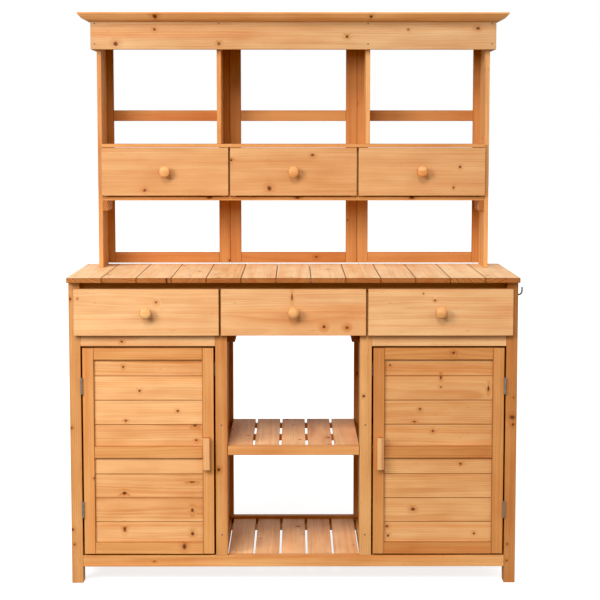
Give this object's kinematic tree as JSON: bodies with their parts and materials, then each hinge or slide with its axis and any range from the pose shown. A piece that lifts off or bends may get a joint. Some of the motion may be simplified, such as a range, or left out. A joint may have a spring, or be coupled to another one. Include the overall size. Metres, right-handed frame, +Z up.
{
  "type": "potting bench",
  "caption": "Wooden potting bench: drawers and framed doors round an open slatted bay under a boarded worktop, and an open-backed hutch with small drawers and a cornice.",
  "frame": {"origin": "on the floor, under the middle of the width and of the overall depth, knobs included", "axes": "+Z up, -Y out of the front with the drawers and doors, +X to the right seen from the front"},
  "size_m": [1.2934, 0.4674, 1.648],
  "materials": {
    "frame_wood": "satin stained fir, honey coloured",
    "front_wood": "satin stained fir, lighter honey",
    "worktop_wood": "satin stained fir",
    "inner_wood": "lightly stained fir",
    "turned_wood": "turned and stained wood",
    "zinc_steel": "zinc plated",
    "black_steel": "black coated wire"
  },
  "bodies": {
    "bench": {"leg_front_left": "frame_wood", "leg_front_right": "frame_wood", "leg_back_left": "frame_wood", "leg_back_right": "frame_wood", "inner_posts": "frame_wood", "bottom_rails": "frame_wood", "cross_rails": "frame_wood", "aprons": "frame_wood", "door_headers": "front_wood", "side_boards": "frame_wood", "partition_boards": "frame_wood", "back_boards": "frame_wood", "floor_slats": "inner_wood", "slat_bearers": "inner_wood", "open_shelf_frame": "frame_wood", "open_shelf_slats": "inner_wood", "cabinet_shelves": "inner_wood", "worktop_boards": "worktop_wood", "drawer_runners": "inner_wood", "hinge_frame_leaves": "zinc_steel", "hinge_frame_screws": "zinc_steel", "door_catches": "zinc_steel", "hutch_sides": "frame_wood", "hutch_back_frames": "frame_wood", "hutch_partitions": "frame_wood", "hutch_drawer_board": "frame_wood", "hutch_cleats": "frame_wood", "hutch_shelf": "frame_wood", "hutch_dividers": "frame_wood", "hutch_top_board": "frame_wood", "hutch_fascia": "frame_wood", "hutch_cornice": "frame_wood", "hooks": "black_steel"},
    "drawer_left": {"drawer_left_front": "front_wood", "drawer_left_box": "inner_wood", "drawer_left_knob": "turned_wood"},
    "drawer_centre": {"drawer_centre_front": "front_wood", "drawer_centre_box": "inner_wood", "drawer_centre_knob": "turned_wood"},
    "drawer_right": {"drawer_right_front": "front_wood", "drawer_right_box": "inner_wood", "drawer_right_knob": "turned_wood"},
    "door_left": {"door_left_frame": "front_wood", "door_left_boards": "front_wood", "door_left_handle": "front_wood", "door_left_fittings": "zinc_steel"},
    "door_right": {"door_right_frame": "front_wood", "door_right_boards": "front_wood", "door_right_handle": "front_wood", "door_right_fittings": "zinc_steel"},
    "hutch_drawer_left": {"hutch_drawer_left_front": "front_wood", "hutch_drawer_left_box": "inner_wood", "hutch_drawer_left_knob": "turned_wood"},
    "hutch_drawer_centre": {"hutch_drawer_centre_front": "front_wood", "hutch_drawer_centre_box": "inner_wood", "hutch_drawer_centre_knob": "turned_wood"},
    "hutch_drawer_right": {"hutch_drawer_right_front": "front_wood", "hutch_drawer_right_box": "inner_wood", "hutch_drawer_right_knob": "turned_wood"}
  },
  "joints": [
    {"name": "drawer_left_slide", "type": "slide", "parent": "bench", "child": "drawer_left", "axis": [0, -1, 0], "range_m": [0, 0.28]},
    {"name": "drawer_centre_slide", "type": "slide", "parent": "bench", "child": "drawer_centre", "axis": [0, -1, 0], "range_m": [0, 0.28]},
    {"name": "drawer_right_slide", "type": "slide", "parent": "bench", "child": "drawer_right", "axis": [0, -1, 0], "range_m": [0, 0.28]},
    {"name": "hutch_drawer_left_slide", "type": "slide", "parent": "bench", "child": "hutch_drawer_left", "axis": [0, -1, 0], "range_m": [0, 0.08]},
    {"name": "hutch_drawer_centre_slide", "type": "slide", "parent": "bench", "child": "hutch_drawer_centre", "axis": [0, -1, 0], "range_m": [0, 0.08]},
    {"name": "hutch_drawer_right_slide", "type": "slide", "parent": "bench", "child": "hutch_drawer_right", "axis": [0, -1, 0], "range_m": [0, 0.08]},
    {"name": "door_left_hinge", "type": "hinge", "parent": "bench", "child": "door_left", "pos_m": [-0.60365, -0.1949, 0.3845], "axis": [0, 0, -1], "range_deg": [0, 170]},
    {"name": "door_right_hinge", "type": "hinge", "parent": "bench", "child": "door_right", "pos_m": [0.60365, -0.1949, 0.3845], "axis": [0, 0, 1], "range_deg": [0, 170]}
  ]
}
